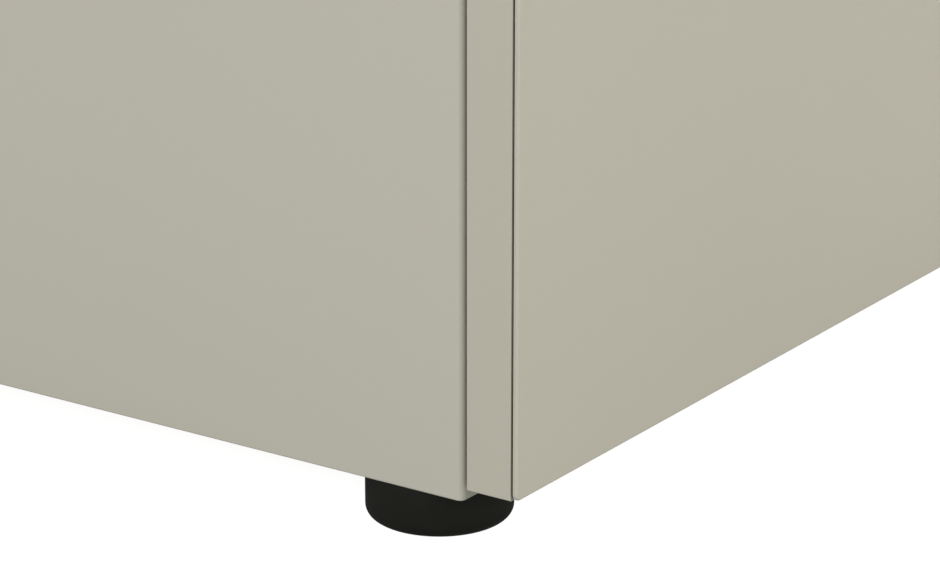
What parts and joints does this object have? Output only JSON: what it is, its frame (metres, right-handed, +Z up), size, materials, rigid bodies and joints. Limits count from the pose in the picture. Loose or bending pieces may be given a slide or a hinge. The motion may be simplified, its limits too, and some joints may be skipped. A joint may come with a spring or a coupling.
{
  "type": "filing cabinet",
  "caption": "Free-standing steel filing cabinet: folded case on round levelling feet, overlay drawer fronts with bar handles and label holders, telescopic runners and a central lock.",
  "frame": {"origin": "middle of the footprint's bounding box, handles included, on the floor plane", "axes": "+Z up, -Y out of the drawer fronts towards the user, +X to the user's right when facing the drawers"},
  "size_m": [0.46, 0.6522, 0.711],
  "materials": {
    "case_paint": "satin powder coat, light stone grey",
    "front_paint": "satin powder coat, light stone grey",
    "tub_paint": "satin powder coat, light stone grey",
    "upright_steel": "galvanised",
    "runner_steel": "bright zinc plate",
    "zinc_plate": "bright zinc plate",
    "handle_metal": "satin nickel",
    "label_metal": "satin nickel",
    "lock_chrome": "polished",
    "key_nickel": "nickel plate",
    "foot_plastic": "moulded, matte black",
    "guide_plastic": "moulded, matte black",
    "rubber_bumper": "matte",
    "label_paper": "plain white card"
  },
  "bodies": {
    "case": {"case_side_left": "case_paint", "case_side_right": "case_paint", "case_back": "case_paint", "case_top": "case_paint", "case_base": "case_paint", "front_fascia": "case_paint", "mid_rail": "case_paint", "upright_front_left": "upright_steel", "upright_front_right": "upright_steel", "upright_rear_left": "upright_steel", "upright_rear_right": "upright_steel", "runner_fixed_top_left": "runner_steel", "runner_fixed_top_right": "runner_steel", "runner_fixed_bottom_left": "runner_steel", "runner_fixed_bottom_right": "runner_steel", "foot_nuts": "zinc_plate", "case_fasteners": "zinc_plate", "lock_housing": "lock_chrome", "lock_bar_guides": "guide_plastic"},
    "top_drawer": {"front_skin_top": "front_paint", "front_pan_top": "front_paint", "drawer_tub_top": "tub_paint", "handle_top": "handle_metal", "handle_screws_top": "zinc_plate", "label_holder_top": "label_metal", "label_card_top": "label_paper", "file_rails_top": "zinc_plate", "lock_hook_top": "zinc_plate", "drawer_bumpers_top": "rubber_bumper", "runner_drawer_top_left": "runner_steel", "runner_drawer_top_right": "runner_steel"},
    "bottom_drawer": {"front_skin_bottom": "front_paint", "front_pan_bottom": "front_paint", "drawer_tub_bottom": "tub_paint", "handle_bottom": "handle_metal", "handle_screws_bottom": "zinc_plate", "label_holder_bottom": "label_metal", "label_card_bottom": "label_paper", "file_rails_bottom": "zinc_plate", "lock_hook_bottom": "zinc_plate", "drawer_bumpers_bottom": "rubber_bumper", "runner_drawer_bottom_left": "runner_steel", "runner_drawer_bottom_right": "runner_steel"},
    "top_runner_left": {"runner_mid_top_left": "runner_steel"},
    "top_runner_right": {"runner_mid_top_right": "runner_steel"},
    "bottom_runner_left": {"runner_mid_bottom_left": "runner_steel"},
    "bottom_runner_right": {"runner_mid_bottom_right": "runner_steel"},
    "lock": {"lock_barrel": "lock_chrome", "lock_cam": "zinc_plate", "key": "key_nickel"},
    "lock_bar": {"lock_bar": "zinc_plate", "lock_bar_plates": "zinc_plate"},
    "foot_front_left": {"foot_front_left": "foot_plastic", "foot_stud_front_left": "zinc_plate"},
    "foot_front_right": {"foot_front_right": "foot_plastic", "foot_stud_front_right": "zinc_plate"},
    "foot_rear_left": {"foot_rear_left": "foot_plastic", "foot_stud_rear_left": "zinc_plate"},
    "foot_rear_right": {"foot_rear_right": "foot_plastic", "foot_stud_rear_right": "zinc_plate"}
  },
  "joints": [
    {"name": "top_drawer_slide", "type": "slide", "parent": "case", "child": "top_drawer", "axis": [0, -1, 0], "range_m": [0, 0.5]},
    {"name": "bottom_drawer_slide", "type": "slide", "parent": "case", "child": "bottom_drawer", "axis": [0, -1, 0], "range_m": [0, 0.5]},
    {"name": "top_runner_left_slide", "type": "slide", "parent": "case", "child": "top_runner_left", "axis": [0, -1, 0], "range_m": [0, 0.25]},
    {"name": "top_runner_right_slide", "type": "slide", "parent": "case", "child": "top_runner_right", "axis": [0, -1, 0], "range_m": [0, 0.25]},
    {"name": "bottom_runner_left_slide", "type": "slide", "parent": "case", "child": "bottom_runner_left", "axis": [0, -1, 0], "range_m": [0, 0.25]},
    {"name": "bottom_runner_right_slide", "type": "slide", "parent": "case", "child": "bottom_runner_right", "axis": [0, -1, 0], "range_m": [0, 0.25]},
    {"name": "lock_turn", "type": "hinge", "parent": "case", "child": "lock", "pos_m": [0.19, -0.2961, 0.6724], "axis": [0, 1, 0], "range_deg": [0, 90]},
    {"name": "lock_bar_lift", "type": "slide", "parent": "case", "child": "lock_bar", "axis": [0, 0, 1], "range_m": [0, 0.008]},
    {"name": "foot_front_left_adjust", "type": "slide", "parent": "case", "child": "foot_front_left", "axis": [0, 0, -1], "range_m": [0, 0.01]},
    {"name": "foot_front_right_adjust", "type": "slide", "parent": "case", "child": "foot_front_right", "axis": [0, 0, -1], "range_m": [0, 0.01]},
    {"name": "foot_rear_left_adjust", "type": "slide", "parent": "case", "child": "foot_rear_left", "axis": [0, 0, -1], "range_m": [0, 0.01]},
    {"name": "foot_rear_right_adjust", "type": "slide", "parent": "case", "child": "foot_rear_right", "axis": [0, 0, -1], "range_m": [0, 0.01]}
  ],
  "couplings": [
    {"joint": "top_runner_left_slide", "follows": "top_drawer_slide", "ratio": 0.5},
    {"joint": "top_runner_right_slide", "follows": "top_drawer_slide", "ratio": 0.5},
    {"joint": "bottom_runner_left_slide", "follows": "bottom_drawer_slide", "ratio": 0.5},
    {"joint": "bottom_runner_right_slide", "follows": "bottom_drawer_slide", "ratio": 0.5},
    {"joint": "lock_turn", "follows": "lock_bar_lift", "rad_per_m": 196.34}
  ]
}
